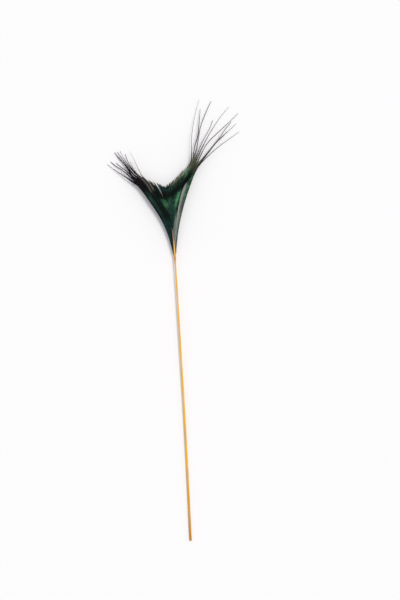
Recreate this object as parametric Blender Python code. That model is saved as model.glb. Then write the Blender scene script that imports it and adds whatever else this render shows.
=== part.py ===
# A dyed peacock tail feather, stripped and trimmed to a fish-tail end, lying on a flat surface.
# Metres, +Z up. The shaft runs along +Y from its cut end to the vane, and the vane's two
# horns spread to either side. The cut end and the horns' drooping tips touch the surface.
#
# The tables are in millimetres from the vane's base, where the first barbs leave the shaft.
# x is across the feather, y along it, and z is the height of an underside above the surface.
# Barbs are grouped into locks. A lock's share is where its barbs leave the shaft: 0 is the
# vane's base and 1 is the notch at the shaft's tip.
import math

import bmesh
import bpy
import numpy as np

MM = 0.001

# Shaft: y, x of its centre, z of its underside, radius
SHAFT = [
    (-259.3, 0.45, 0.0, 1.05),
    (-244.0, 0.5, 0.0, 1.04),
    (-229.0, 0.65, 0.0, 1.02),
    (-205.0, 0.85, 0.15, 1.0),
    (-180.0, 1.05, 0.5, 0.97),
    (-155.0, 1.15, 1.0, 0.93),
    (-130.0, 1.2, 1.6, 0.9),
    (-105.0, 1.15, 2.2, 0.86),
    (-80.0, 1.05, 2.75, 0.82),
    (-55.0, 0.95, 3.25, 0.78),
    (-30.0, 0.8, 3.65, 0.75),
    (-8.0, 0.65, 3.95, 0.74),
    (-3.5, 0.62, 3.85, 0.86),
    (0.5, 0.6, 3.8, 0.96),
    (4.5, 0.55, 3.95, 0.86),
    (10.0, 0.4, 4.15, 0.74),
    (20.0, -0.25, 4.35, 0.66),
    (31.0, -1.2, 4.5, 0.58),
    (42.0, -2.3, 4.65, 0.5),
    (52.0, -3.3, 4.8, 0.42),
    (61.0, -4.2, 4.95, 0.32),
]
SHAFT_SIDES = 12
CUT_SLANT = 0.35        # how far the cut end's top edge is set back
VANE_LENGTH = 60.0      # stretch of shaft that barbs leave

# Where the barbs of one share run. Horn rows pass the neck third, then reach their tips.
# Crescent rows end third, on the fringe between the horns.
LEFT_ROWS = [
    (0.00, (-9.5, 31.8, 6.4), (-19.7, 49.6, 7.2), (-30.6, 65.1, 6.4), (-44.3, 75.5, 3.6), (-57.8, 87.0, 0.0)),
    (0.10, (-8.9, 34.4, 6.5), (-18.5, 51.3, 7.3), (-28.7, 66.6, 6.5), (-42.9, 77.9, 3.6), (-53.4, 88.6, 0.0)),
    (0.19, (-8.3, 36.7, 6.6), (-17.2, 52.9, 7.4), (-26.7, 68.0, 6.6), (-39.6, 79.5, 3.8), (-48.2, 87.5, 0.3)),
    (0.26, (-8.2, 38.4, 6.6), (-16.6, 54.0, 7.4), (-25.6, 68.9, 6.7), (-38.9, 83.5, 4.2), (-48.9, 96.9, 0.6)),
    (0.34, (-8.1, 40.2, 6.6), (-16.0, 55.0, 7.4), (-24.5, 69.5, 6.8), (-37.0, 84.1, 4.4), (-44.5, 97.9, 1.2)),
    (0.42, (-7.9, 42.2, 6.6), (-15.5, 56.2, 7.4), (-23.3, 70.0, 6.8), (-34.7, 82.1, 4.4), (-39.4, 95.2, 0.8)),
    (0.48, (-7.9, 43.5, 6.6), (-15.0, 57.1, 7.3), (-22.5, 70.3, 6.7), (-31.6, 79.2, 5.0), (-35.2, 88.0, 2.6)),
    (0.51, (-7.8, 44.4, 6.5), (-14.7, 57.8, 7.2), (-21.9, 70.5, 6.6), (-28.3, 81.3, 5.0), (-35.5, 97.4, 2.8)),
    (0.57, (-7.5, 46.0, 6.4), (-13.9, 58.2, 7.0), (-20.2, 69.9, 6.4)),
    (0.70, (-6.9, 50.1, 6.1), (-11.1, 59.0, 6.6), (-15.6, 67.6, 6.2)),
    (0.83, (-5.8, 53.6, 5.8), (-8.5, 59.7, 6.1), (-11.5, 66.0, 5.9)),
    (0.86, (-5.6, 54.7, 5.7), (-7.7, 60.1, 6.0), (-10.1, 65.6, 5.8)),
    (1.00, (-4.4, 60.9, 5.2), (-4.6, 61.9, 5.3), (-4.8, 63.2, 5.4)),
]
RIGHT_ROWS = [
    (0.00, (8.4, 35.0, 6.3), (17.0, 59.2, 7.0), (26.6, 78.8, 6.2), (46.0, 95.2, 3.4), (66.3, 110.0, 0.0)),
    (0.10, (6.5, 35.2, 6.4), (14.3, 59.4, 7.1), (25.6, 79.6, 6.3), (43.2, 97.8, 3.4), (64.0, 115.5, 0.0)),
    (0.16, (5.6, 35.3, 6.4), (13.1, 59.6, 7.1), (24.9, 80.2, 6.4), (40.8, 98.1, 3.6), (58.0, 117.0, 0.7)),
    (0.17, (4.8, 35.3, 6.4), (11.3, 59.6, 7.1), (24.7, 80.4, 6.4), (40.2, 98.4, 3.7), (57.3, 118.3, 0.8)),
    (0.24, (4.3, 38.0, 6.5), (11.1, 60.6, 7.2), (23.7, 81.3, 6.5), (37.3, 101.8, 4.0), (65.7, 126.8, 0.0)),
    (0.31, (4.0, 40.4, 6.5), (10.6, 61.5, 7.2), (22.8, 82.6, 6.6), (35.9, 105.5, 4.2), (57.2, 132.6, 0.4)),
    (0.37, (3.7, 42.4, 6.5), (10.1, 62.2, 7.2), (22.0, 83.5, 6.6), (33.4, 105.5, 4.6), (41.9, 121.4, 2.4)),
    (0.43, (3.4, 44.4, 6.5), (9.5, 63.1, 7.2), (21.0, 84.3, 6.6), (29.6, 110.4, 4.6), (41.3, 138.7, 1.0)),
    (0.48, (3.1, 46.1, 6.5), (8.9, 63.9, 7.1), (20.0, 84.8, 6.6), (26.8, 106.0, 5.0), (31.7, 133.1, 2.4)),
    (0.515, (2.8, 47.6, 6.4), (8.2, 64.8, 7.0), (18.7, 85.0, 6.5), (22.4, 111.3, 5.0), (30.7, 140.8, 2.0)),
    (0.57, (2.5, 48.6, 6.4), (7.2, 63.0, 6.9), (16.6, 81.6, 6.4)),
    (0.70, (0.9, 52.8, 6.0), (4.6, 63.0, 6.5), (10.4, 75.5, 6.2)),
    (0.85, (-1.7, 55.7, 5.6), (0.1, 61.5, 5.9), (2.6, 68.2, 5.8)),
    (1.00, (-4.1, 60.9, 5.2), (-4.0, 62.0, 5.3), (-3.7, 63.5, 5.4)),
]

# Shares where one lock ends and the next begins, horn first and then the crescent
LEFT_HORN = [0.0, 0.06, 0.11, 0.155, 0.195, 0.235, 0.275, 0.315, 0.36, 0.4, 0.445, 0.49, 0.545]
LEFT_CRESCENT = [0.58, 0.615, 0.65, 0.685, 0.72, 0.75, 0.78, 0.81, 0.84, 0.87, 0.9, 0.93, 0.96, 1.0]
RIGHT_HORN = [0.0, 0.055, 0.11, 0.165, 0.205, 0.245, 0.28, 0.315, 0.35, 0.39, 0.43, 0.465, 0.5, 0.545]
RIGHT_CRESCENT = [0.58, 0.615, 0.65, 0.685, 0.72, 0.755, 0.79, 0.82, 0.85, 0.88, 0.91, 0.94, 0.97, 1.0]

MARKED = [0, 2, 4, 6, 8, 11]    # stations of a lock that lie on the shaft and on the rows' points
FRINGE = 5              # station up to which crescent locks are joined
NECK = 6                # station at a horn's neck, and the last one of a crescent lock
FORK = 7                # station up to which horn locks are joined
HORN_TIP = 11           # last station of a horn lock
THICK = 0.5             # vane thickness
RIDGE = 0.22            # how far a lock's middle stands above its edges
TIP_HALF = 0.26         # half the width of a lock's end
TAPER = 0.82            # a lock's width just past its parting, against the joined width
ROOT_OUT = 0.1          # each vane's root line, off the middle of the shaft
PARTED = {("left", 0.84): (3, 0.55)}        # early parting beside the notch, and its half width
SLIT = ("right", 0.165)                     # long gap that sets the outer barbs apart
SLIT_SIDES = {1: 0.17, -1: 0.16}            # shares that run along its two sides
SLIT_STATIONS = (2, 3, 4, 5)


def along(ts, values, t):
    # smooth curve through values at ts, with no overshoot from uneven spacing
    ts = np.asarray(ts, float)
    values = np.asarray(values, float)
    steps = np.diff(ts)
    rise = np.diff(values, axis=0) / steps[:, None]
    slope = np.zeros_like(values)
    if len(ts) == 2:
        slope[:] = rise[0]
    else:
        w = (steps[1:] / (steps[:-1] + steps[1:]))[:, None]
        slope[1:-1] = rise[:-1] * w + rise[1:] * (1 - w)
        slope[0] = 2 * rise[0] - slope[1]
        slope[-1] = 2 * rise[-1] - slope[-2]
    i = min(max(int(np.searchsorted(ts, t) - 1), 0), len(ts) - 2)
    h = steps[i]
    u = (t - ts[i]) / h
    a = values[i] * (2 * u**3 - 3 * u**2 + 1) + values[i + 1] * (3 * u**2 - 2 * u**3)
    b = slope[i] * h * (u**3 - 2 * u**2 + u) + slope[i + 1] * h * (u**3 - u**2)
    return a + b


def shaft_at(y):
    ys = [row[0] for row in SHAFT]
    x, z, r = along(ys, [row[1:] for row in SHAFT], y)
    return x, z, r


def root_at(share):
    # the vane's underside where barbs leave the middle of the shaft
    y = VANE_LENGTH * share
    x, z, r = shaft_at(y)
    return np.array([x, y, z + r * math.cos(math.pi / SHAFT_SIDES) - THICK / 2])


def guide(rows, share, column):
    known = [(row[0], row[column]) for row in rows if len(row) > column]
    shares = [k[0] for k in known]
    return np.array([np.interp(share, shares, [k[1][axis] for k in known]) for axis in range(3)])


def barb_line(rows, share, last):
    # stations along a barb: 0 at the shaft, NECK at the neck or fringe, HORN_TIP at a horn's tip
    columns = 5 if last > NECK else 3
    marks = [root_at(share)] + [guide(rows, share, c) for c in range(1, columns + 1)]
    ts = [0.0]
    for a, b in zip(marks, marks[1:]):
        ts.append(ts[-1] + max(float(np.linalg.norm(b - a)), 0.3))
    where = [np.interp(j, MARKED[: columns + 1], ts) for j in range(last + 1)]
    where[FRINGE] = 0.4 * where[FRINGE - 1] + 0.6 * where[NECK]
    return [along(ts, marks, t) for t in where]


def across(line, j):
    # unit vector to the right of a barb, level
    ahead = line[min(j + 1, len(line) - 1)] - line[max(j - 1, 0)]
    side = np.array([ahead[1], -ahead[0], 0.0])
    return side / np.linalg.norm(side)


class Vane:
    def __init__(self, name, rows, horn, crescent):
        self.name = name
        self.rows = rows
        self.shares = horn + crescent
        self.horn_locks = len(horn) - 1
        self.count = len(self.shares) - 1
        self.turn = 1.0 if name == "right" else -1.0

    def last(self, lock):
        return HORN_TIP if lock < self.horn_locks else NECK

    def parting(self, b):
        # station up to which the locks on both sides of boundary b are joined
        share = self.shares[b]
        if (self.name, share) in PARTED:
            return PARTED[(self.name, share)]
        return (FORK if b < self.horn_locks else FRINGE), 0.0


def build_vane(bm, vane, roots):
    # the upper face of one vane, lock by lock, sharing edges up to where locks part
    lines = []
    for b, share in enumerate(vane.shares):
        last = HORN_TIP if b <= vane.horn_locks else NECK
        lines.append(barb_line(vane.rows, share, last))
    shared = {}

    def boundary(b, j, side):
        # a joined boundary point. Side is -1 for the lock below it and +1 for the lock above.
        point = lines[b][j].copy()
        if j == 0:
            return roots(vane.shares[b])
        slit = (vane.name, vane.shares[b]) == SLIT and j in SLIT_STATIONS
        key = (b, j, side if slit else 0)
        if key not in shared:
            if slit:
                point = barb_line(vane.rows, SLIT_SIDES[side], len(lines[b]) - 1)[j]
            shared[key] = bm.verts.new(point)
        return shared[key]

    for lock in range(vane.count):
        last = vane.last(lock)
        mid = 0.5 * (vane.shares[lock] + vane.shares[lock + 1])
        centre = barb_line(vane.rows, mid, last)
        edges = []
        for b, side in ((lock, 1), (lock + 1, -1)):
            ends, gap = vane.parting(b)
            row = []
            start = float(np.linalg.norm((lines[b][ends] - centre[ends])[:2]))
            for j in range(last + 1):
                if j <= ends:
                    row.append(boundary(b, j, side))
                    continue
                u = (j - ends) / (last - ends)
                half = max((start * TAPER - gap) * (1 - u) + TIP_HALF * u, TIP_HALF)
                point = centre[j] + across(centre, j) * vane.turn * side * half
                row.append(bm.verts.new(point))
            edges.append(row)
        below, above = edges
        middle = []
        for j in range(last + 1):
            a = np.array(below[j].co)
            b = np.array(above[j].co)
            if j == 0:
                point = 0.5 * (a + b)
            else:
                width = float(np.linalg.norm(b - a))
                point = 0.5 * (a + b) + np.array([0.0, 0.0, RIDGE * min(1.0, width / 1.2)])
            middle.append(bm.verts.new(point))
        for j in range(last):
            for a, b in ((below, middle), (middle, above)):
                quad = [a[j], a[j + 1], b[j + 1], b[j]]
                bm.faces.new(quad if vane.name == "left" else list(reversed(quad)))


def thicken(bm, depth):
    # closes the upper face into a sheet of even thickness
    tops = list(bm.verts)
    faces = list(bm.faces)
    low = {v: bm.verts.new(v.co) for v in tops}
    for v in tops:
        v.co.z += depth
    rims = [e for e in bm.edges if len(e.link_faces) == 1]
    walls = []
    for e in rims:
        face = e.link_faces[0]
        for loop in face.loops:
            if loop.edge == e:
                walls.append((loop.vert, loop.link_loop_next.vert))
    for face in faces:
        bm.faces.new([low[v] for v in reversed(face.verts)])
    for a, b in walls:
        bm.faces.new([b, a, low[a], low[b]])


def make_object(name, bm, material):
    bmesh.ops.triangulate(bm, faces=bm.faces[:])
    for v in bm.verts:
        v.co *= MM
    mesh = bpy.data.meshes.new(name)
    bm.to_mesh(mesh)
    bm.free()
    mesh.materials.append(material)
    item = bpy.data.objects.new(name, mesh)
    bpy.context.collection.objects.link(item)
    return item


for item in list(bpy.data.objects):
    bpy.data.objects.remove(item, do_unlink=True)

keratin = bpy.data.materials.new("dyed keratin")
keratin.use_nodes = True
keratin.node_tree.nodes["Principled BSDF"].inputs["Base Color"].default_value = (0.02, 0.07, 0.055, 1)

# The shaft: a tapering quill with a flat underside near the cut end
quill = bmesh.new()
rings = []
turn = 2 * math.pi / SHAFT_SIDES
for k, (y, x, z, r) in enumerate(SHAFT):
    ring = []
    middle = z + r * math.cos(turn / 2)
    for i in range(SHAFT_SIDES):
        angle = turn * (i + 0.5)
        height = middle - r * math.cos(angle)
        set_back = CUT_SLANT * (height - z) / r if k == 0 else 0.0
        ring.append(quill.verts.new((x + r * math.sin(angle), y + set_back, height)))
    rings.append(ring)
for near, far in zip(rings, rings[1:]):
    for i in range(SHAFT_SIDES):
        j = (i + 1) % SHAFT_SIDES
        quill.faces.new([near[i], near[j], far[j], far[i]])
quill.faces.new(list(reversed(rings[0])))
quill.faces.new(rings[-1])
bmesh.ops.recalc_face_normals(quill, faces=quill.faces[:])
feather = make_object("feather", quill, keratin)

# Both vanes grow from one line inside the shaft
sheet = bmesh.new()
left = Vane("left", LEFT_ROWS, LEFT_HORN, LEFT_CRESCENT)
right = Vane("right", RIGHT_ROWS, RIGHT_HORN, RIGHT_CRESCENT)
for vane in (left, right):
    root_verts = {}

    def roots(share):
        if share not in root_verts:
            outward = np.array([ROOT_OUT * vane.turn, 0.0, 0.0])
            root_verts[share] = sheet.verts.new(root_at(share) + outward)
        return root_verts[share]

    build_vane(sheet, vane, roots)
thicken(sheet, THICK)
bmesh.ops.recalc_face_normals(sheet, faces=sheet.faces[:])
barbs = make_object("barbs", sheet, keratin)

join = feather.modifiers.new("barbs", "BOOLEAN")
join.operation = "UNION"
join.solver = "EXACT"
join.use_self = True
join.object = barbs
bpy.context.view_layer.update()
grown = bpy.data.meshes.new_from_object(feather.evaluated_get(bpy.context.evaluated_depsgraph_get()))
feather.modifiers.clear()
feather.data = grown
bpy.data.objects.remove(barbs, do_unlink=True)
feather.data.shade_smooth()
feather.data.set_sharp_from_angle(angle=math.radians(35))

# Origin below the middle of the feather's box, on the surface it lies on
corners = np.array([v.co[:] for v in feather.data.vertices])
low, high = corners.min(axis=0), corners.max(axis=0)
for v in feather.data.vertices:
    v.co.x -= (low[0] + high[0]) / 2
    v.co.y -= (low[1] + high[1]) / 2
    v.co.z -= low[2]
print("feather", len(grown.polygons), "faces, box", low, high)
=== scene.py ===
import math

import bpy
import numpy as np
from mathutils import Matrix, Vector


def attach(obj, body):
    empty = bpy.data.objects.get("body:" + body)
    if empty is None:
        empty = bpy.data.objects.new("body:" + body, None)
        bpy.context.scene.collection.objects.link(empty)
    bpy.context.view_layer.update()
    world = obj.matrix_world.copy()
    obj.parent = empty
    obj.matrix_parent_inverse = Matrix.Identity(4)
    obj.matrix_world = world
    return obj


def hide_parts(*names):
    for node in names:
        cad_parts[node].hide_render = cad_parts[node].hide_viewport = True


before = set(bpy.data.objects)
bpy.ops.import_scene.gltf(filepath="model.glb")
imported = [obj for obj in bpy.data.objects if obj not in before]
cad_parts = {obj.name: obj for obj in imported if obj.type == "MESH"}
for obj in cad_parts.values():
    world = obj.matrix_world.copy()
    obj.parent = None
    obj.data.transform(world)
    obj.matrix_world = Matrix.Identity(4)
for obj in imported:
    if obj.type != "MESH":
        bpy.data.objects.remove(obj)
scene = bpy.context.scene
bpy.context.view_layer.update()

mm = 0.001

# The part's own tables are in millimetres from the vane's base. The frame's middle is here in them.
frameMiddle = np.array([4.581, -59.209, 0.0])

# The shaft: y, centre x, underside z, radius
shaftRows = np.array([
    (-259.3, 0.45, 0.00, 1.05), (-244.0, 0.50, 0.00, 1.04), (-229.0, 0.65, 0.00, 1.02),
    (-205.0, 0.85, 0.15, 1.00), (-180.0, 1.05, 0.50, 0.97), (-155.0, 1.15, 1.00, 0.93),
    (-130.0, 1.20, 1.60, 0.90), (-105.0, 1.15, 2.20, 0.86), (-80.0, 1.05, 2.75, 0.82),
    (-55.0, 0.95, 3.25, 0.78), (-30.0, 0.80, 3.65, 0.75), (-8.0, 0.65, 3.95, 0.74),
    (-3.5, 0.62, 3.85, 0.86), (0.5, 0.60, 3.80, 0.96), (4.5, 0.55, 3.95, 0.86),
    (10.0, 0.40, 4.15, 0.74), (20.0, -0.25, 4.35, 0.66), (31.0, -1.20, 4.50, 0.58),
    (42.0, -2.30, 4.65, 0.50), (52.0, -3.30, 4.80, 0.42), (61.0, -4.20, 4.95, 0.32),
])

# Guide barbs: their share of the vane's length on the shaft, and three points, two on the way and one at
# the fringe or at the neck of a horn
leftRows = [
    (0.00, (-9.5, 31.8, 6.4), (-19.7, 49.6, 7.2), (-30.6, 65.1, 6.4)),
    (0.10, (-8.9, 34.4, 6.5), (-18.5, 51.3, 7.3), (-28.7, 66.6, 6.5)),
    (0.19, (-8.3, 36.7, 6.6), (-17.2, 52.9, 7.4), (-26.7, 68.0, 6.6)),
    (0.26, (-8.2, 38.4, 6.6), (-16.6, 54.0, 7.4), (-25.6, 68.9, 6.7)),
    (0.34, (-8.1, 40.2, 6.6), (-16.0, 55.0, 7.4), (-24.5, 69.5, 6.8)),
    (0.42, (-7.9, 42.2, 6.6), (-15.5, 56.2, 7.4), (-23.3, 70.0, 6.8)),
    (0.48, (-7.9, 43.5, 6.6), (-15.0, 57.1, 7.3), (-22.5, 70.3, 6.7)),
    (0.51, (-7.8, 44.4, 6.5), (-14.7, 57.8, 7.2), (-21.9, 70.5, 6.6)),
    (0.57, (-7.5, 46.0, 6.4), (-13.9, 58.2, 7.0), (-20.2, 69.9, 6.4)),
    (0.70, (-6.9, 50.1, 6.1), (-11.1, 59.0, 6.6), (-15.6, 67.6, 6.2)),
    (0.83, (-5.8, 53.6, 5.8), (-8.5, 59.7, 6.1), (-11.5, 66.0, 5.9)),
    (0.86, (-5.6, 54.7, 5.7), (-7.7, 60.1, 6.0), (-10.1, 65.6, 5.8)),
    (1.00, (-4.4, 60.9, 5.2), (-4.6, 61.9, 5.3), (-4.8, 63.2, 5.4)),
]
rightRows = [
    (0.00, (8.4, 35.0, 6.3), (17.0, 59.2, 7.0), (26.6, 78.8, 6.2)),
    (0.10, (6.5, 35.2, 6.4), (14.3, 59.4, 7.1), (25.6, 79.6, 6.3)),
    (0.16, (5.6, 35.3, 6.4), (13.1, 59.6, 7.1), (24.9, 80.2, 6.4)),
    (0.17, (4.8, 35.3, 6.4), (11.3, 59.6, 7.1), (24.7, 80.4, 6.4)),
    (0.24, (4.3, 38.0, 6.5), (11.1, 60.6, 7.2), (23.7, 81.3, 6.5)),
    (0.31, (4.0, 40.4, 6.5), (10.6, 61.5, 7.2), (22.8, 82.6, 6.6)),
    (0.37, (3.7, 42.4, 6.5), (10.1, 62.2, 7.2), (22.0, 83.5, 6.6)),
    (0.43, (3.4, 44.4, 6.5), (9.5, 63.1, 7.2), (21.0, 84.3, 6.6)),
    (0.48, (3.1, 46.1, 6.5), (8.9, 63.9, 7.1), (20.0, 84.8, 6.6)),
    (0.515, (2.8, 47.6, 6.4), (8.2, 64.8, 7.0), (18.7, 85.0, 6.5)),
    (0.57, (2.5, 48.6, 6.4), (7.2, 63.0, 6.9), (16.6, 81.6, 6.4)),
    (0.70, (0.9, 52.8, 6.0), (4.6, 63.0, 6.5), (10.4, 75.5, 6.2)),
    (0.85, (-1.7, 55.7, 5.6), (0.1, 61.5, 5.9), (2.6, 68.2, 5.8)),
    (1.00, (-4.1, 60.9, 5.2), (-4.0, 62.0, 5.3), (-3.7, 63.5, 5.4)),
]


def toFrame(points):
    return (np.asarray(points, float) - frameMiddle) * mm


def ease(value, low, high):
    # 0 below low, 1 above high, smooth between, and turned round when high is the lower one
    u = np.clip((np.asarray(value, float) - low) / (high - low), 0.0, 1.0)
    return u * u * (3.0 - 2.0 * u)


def curveThrough(marks, values, at):
    # a smooth curve through values at uneven marks
    marks, values, at = [np.asarray(given, float) for given in (marks, values, at)]
    steps = np.diff(marks)
    rise = np.diff(values, axis=0) / steps[:, None]
    slope = np.zeros_like(values)
    weight = (steps[1:] / (steps[:-1] + steps[1:]))[:, None]
    slope[1:-1] = rise[:-1] * weight + rise[1:] * (1 - weight)
    slope[0] = 2 * rise[0] - slope[1]
    slope[-1] = 2 * rise[-1] - slope[-2]
    i = np.clip(np.searchsorted(marks, at) - 1, 0, len(marks) - 2)
    h = steps[i][:, None]
    u = ((at - marks[i]) / steps[i])[:, None]
    level = values[i] * (2 * u**3 - 3 * u**2 + 1) + values[i + 1] * (3 * u**2 - 2 * u**3)
    return level + slope[i] * h * (u**3 - 2 * u**2 + u) + slope[i + 1] * h * (u**3 - u**2)


def shaftAt(y):
    return curveThrough(shaftRows[:, 0], shaftRows[:, 1:], np.atleast_1d(y))


def newMesh(name, points, faces, sides, fields, material, smooth):
    # a mesh straight from arrays. fields are numbers kept on each point for the material to read
    mesh = bpy.data.meshes.new(name)
    mesh.vertices.add(len(points))
    mesh.vertices.foreach_set("co", toFrame(points).astype(np.float32).ravel())
    mesh.loops.add(len(faces) * sides)
    mesh.loops.foreach_set("vertex_index", np.asarray(faces, np.int32).ravel())
    mesh.polygons.add(len(faces))
    mesh.polygons.foreach_set("loop_start", np.arange(0, len(faces) * sides, sides, dtype=np.int32))
    mesh.polygons.foreach_set("use_smooth", np.full(len(faces), smooth))
    mesh.update(calc_edges=True)
    for key, values in fields.items():
        mesh.attributes.new(key, "FLOAT", "POINT").data.foreach_set("value", np.asarray(values, np.float32))
    mesh.materials.append(material)
    piece = bpy.data.objects.new(name, mesh)
    scene.collection.objects.link(piece)
    return piece


# Materials

def linear(code):
    # an sRGB hex colour as the shader's own linear one
    parts = [int(code[i:i + 2], 16) / 255 for i in (1, 3, 5)]
    return tuple(p / 12.92 if p <= 0.04045 else ((p + 0.055) / 1.055) ** 2.4 for p in parts) + (1.0,)


def addNode(tree, kind, inputs=None, settings=None, stops=None):
    # one shader node, with its values or links, its settings, and the stops of a ramp
    node = tree.nodes.new("ShaderNode" + kind)
    for key, value in (settings or {}).items():
        setattr(node, key, value)
    for key, value in (inputs or {}).items():
        if isinstance(value, bpy.types.NodeSocket):
            tree.links.new(value, node.inputs[key])
        else:
            node.inputs[key].default_value = value
    if stops:
        ramp = node.color_ramp
        while len(ramp.elements) < len(stops):
            ramp.elements.new(1.0)
        for element, (place, colour) in zip(ramp.elements, stops):
            element.position = place
            element.color = linear(colour)
    return node


def newMaterial(name):
    material = bpy.data.materials.new(name)
    material.use_nodes = True
    tree = material.node_tree
    tree.nodes.clear()
    return material, tree


def finishMaterial(tree, inputs):
    shader = addNode(tree, "BsdfPrincipled", inputs)
    addNode(tree, "OutputMaterial", {"Surface": shader.outputs[0]})


def objectPlace(tree):
    return addNode(tree, "TexCoord").outputs["Object"]


def read(tree, key):
    return addNode(tree, "Attribute", None, {"attribute_name": key}).outputs["Fac"]


def blendColours(tree, amount, first, second, mode="MIX"):
    node = addNode(tree, "Mix", None, {"data_type": "RGBA", "blend_type": mode, "clamp_factor": True})
    for index, value in ((0, amount), (6, first), (7, second)):     # the sockets that a colour mix uses
        if isinstance(value, bpy.types.NodeSocket):
            tree.links.new(value, node.inputs[index])
        else:
            node.inputs[index].default_value = linear(value) if isinstance(value, str) else value
    return node.outputs[2]


def shadeBy(tree, colour, level):
    # a colour made darker or lighter by a level
    grey = addNode(tree, "CombineColor", {0: level, 1: level, 2: level}).outputs[0]
    return blendColours(tree, 1.0, colour, grey, "MULTIPLY")


def noise(tree, place, size, detail, roughness=0.5):
    # a random pattern with patches of about size millimetres
    inputs = {"Vector": place, "Scale": 1 / (size * mm), "Detail": detail, "Roughness": roughness}
    return addNode(tree, "TexNoise", inputs).outputs["Fac"]


def stretched(tree, pattern, low, high):
    # a random pattern's usual range, 0.3 to 0.7, made to run from low to high
    inputs = {"Value": pattern, "From Min": 0.3, "From Max": 0.7, "To Min": low, "To Max": high}
    return addNode(tree, "MapRange", inputs).outputs[0]


def bump(tree, height, strength, depth):
    inputs = {"Height": height, "Strength": strength, "Distance": depth * mm}
    return addNode(tree, "Bump", inputs).outputs[0]


# Barb keratin, dyed in a teal-green bath over its own brown-black pigment: dark barbs, with green
# where the pigment is thin, a blue-black band below the crescent, and a dull frayed edge. The dye takes
# in patches of 2 to 3 mm, and its grain is about half a millimetre.
barbLook = {
    "pigment": "#080708", "pigmentWarm": "#522a48",
    "green": "#325842", "greenBright": "#6ab77c", "teal": "#1a3537",
    "frayed": "#82806a", "pale": "#b3bdb2", "sheen": "#c4f9e7",
    "patchSize": 2.4, "patchRoughness": 0.72, "patchShade": (0.38, 1.68),
    "grainSize": 0.53, "grainShade": (0.8, 1.15), "grainDepth": 0.04, "roughness": (0.35, 0.6),
    "barbShade": 0.85, "barbuleShade": 1.0,
}


def barbMaterial(name, look, shade):
    material, tree = newMaterial(name)
    place = objectPlace(tree)
    patch = noise(tree, place, look["patchSize"], 5.0, look["patchRoughness"])
    grain = noise(tree, place, look["grainSize"], 2.0)
    black = blendColours(tree, read(tree, "warm"), look["pigment"], look["pigmentWarm"])
    dye = blendColours(tree, read(tree, "teal"), look["green"], look["teal"])
    dye = blendColours(tree, read(tree, "bright"), dye, look["greenBright"])
    depths = {0: stretched(tree, patch, *look["patchShade"]), 1: read(tree, "depth")}
    dye = shadeBy(tree, dye, addNode(tree, "Math", depths, {"operation": "MULTIPLY"}).outputs[0])
    colour = blendColours(tree, read(tree, "green"), black, dye)
    # pale strands, and on the right vane a painted light on the barbs beside the gap
    colour = blendColours(tree, read(tree, "pale"), colour, look["pale"])
    colour = blendColours(tree, read(tree, "frayed"), colour, look["frayed"])
    low, high = look["grainShade"]
    colour = shadeBy(tree, colour, stretched(tree, grain, low * shade, high * shade))
    # the grain also breaks the sheen and the surface
    finishMaterial(tree, {
        "Base Color": colour, "Roughness": stretched(tree, grain, *look["roughness"]), "IOR": 1.54,
        "Specular IOR Level": 0.1, "Specular Tint": linear(look["sheen"]),
        "Normal": bump(tree, grain, 0.3, look["grainDepth"]),
    })
    return material


# The free edge round the crescent, from one horn to the other
edgeLine = np.array([
    (-35.5, 97.4), (-28.3, 81.3), (-21.9, 70.5), (-20.2, 69.9), (-15.6, 67.6),
    (-11.5, 66.0), (-10.1, 65.6), (-4.8, 63.4), (-3.7, 63.5), (2.6, 68.2),
    (10.4, 75.5), (16.6, 81.6), (18.7, 85.0), (22.4, 111.3), (30.7, 140.8),
])


def fromEdge(points):
    # distance of each point from the free edge, in millimetres
    flat = np.asarray(points)[:, :2]
    nearest = np.full(len(flat), np.inf)
    for a, b in zip(edgeLine, edgeLine[1:]):
        run = b - a
        u = np.clip(((flat - a) @ run) / (run @ run), 0, 1)
        nearest = np.minimum(nearest, np.linalg.norm(flat - (a + u[:, None] * run), axis=1))
    return nearest


# Places along a barb are marks: 0 on the shaft, 2, 4 and 6 at its guide points. Mark 6 is the fringe, or
# the neck of a horn, and a wisp's tip is at 11.
guideMarks = [0.0, 2.0, 4.0, 6.0]
neckMark = 6.0
tipMark = 11.0
hornEnd = 0.545     # barbs of a smaller share grow into a horn

# Wisps of the horns: shares of their barbs, how many barbs run to the tip, how long the others are,
# half the bundle's width at its tip, the tip's height, and the way it takes beyond the neck
rightWisps = [
    (0.000, 0.045, 1, 0.45, 0.10, 0.0, [(37.5, 90.2), (44.7, 96.1), (55.5, 103.3), (65.3, 109.6)]),
    (0.045, 0.100, 4, 0.95, 0.40, 0.2, [(35.4, 90.3), (42.7, 99.4), (50.4, 106.3), (62.8, 117.1)]),
    (0.100, 0.165, 2, 0.55, 0.30, 0.6, [(38.3, 94.9), (46.1, 103.9), (51.8, 111.4), (58.3, 118.9)]),
    (0.165, 0.235, 1, 0.30, 0.10, 0.0, [(37.1, 101.8), (45.4, 109.2), (56.4, 118.5), (65.3, 126.5)]),
    (0.235, 0.300, 2, 0.45, 0.15, 0.4,
     [(31.6, 97.9), (36.3, 106.0), (43.1, 116.1), (48.7, 123.6), (57.2, 132.6)]),
    (0.300, 0.365, 2, 0.60, 0.20, 2.2, [(29.6, 98.6), (33.7, 105.7), (38.8, 113.8), (41.9, 121.4)]),
    (0.365, 0.425, 2, 0.45, 0.15, 1.0, [(26.9, 100.8), (30.5, 115.8), (34.7, 125.5), (41.3, 138.7)]),
    (0.425, 0.485, 4, 0.95, 0.35, 2.4, [(23.8, 97.3), (27.1, 105.5), (29.2, 119.0), (30.9, 131.9)]),
    (0.485, 0.545, 1, 0.35, 0.10, 2.0, [(20.7, 98.6), (22.5, 111.5), (25.9, 126.1), (30.6, 140.5)]),
]
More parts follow.
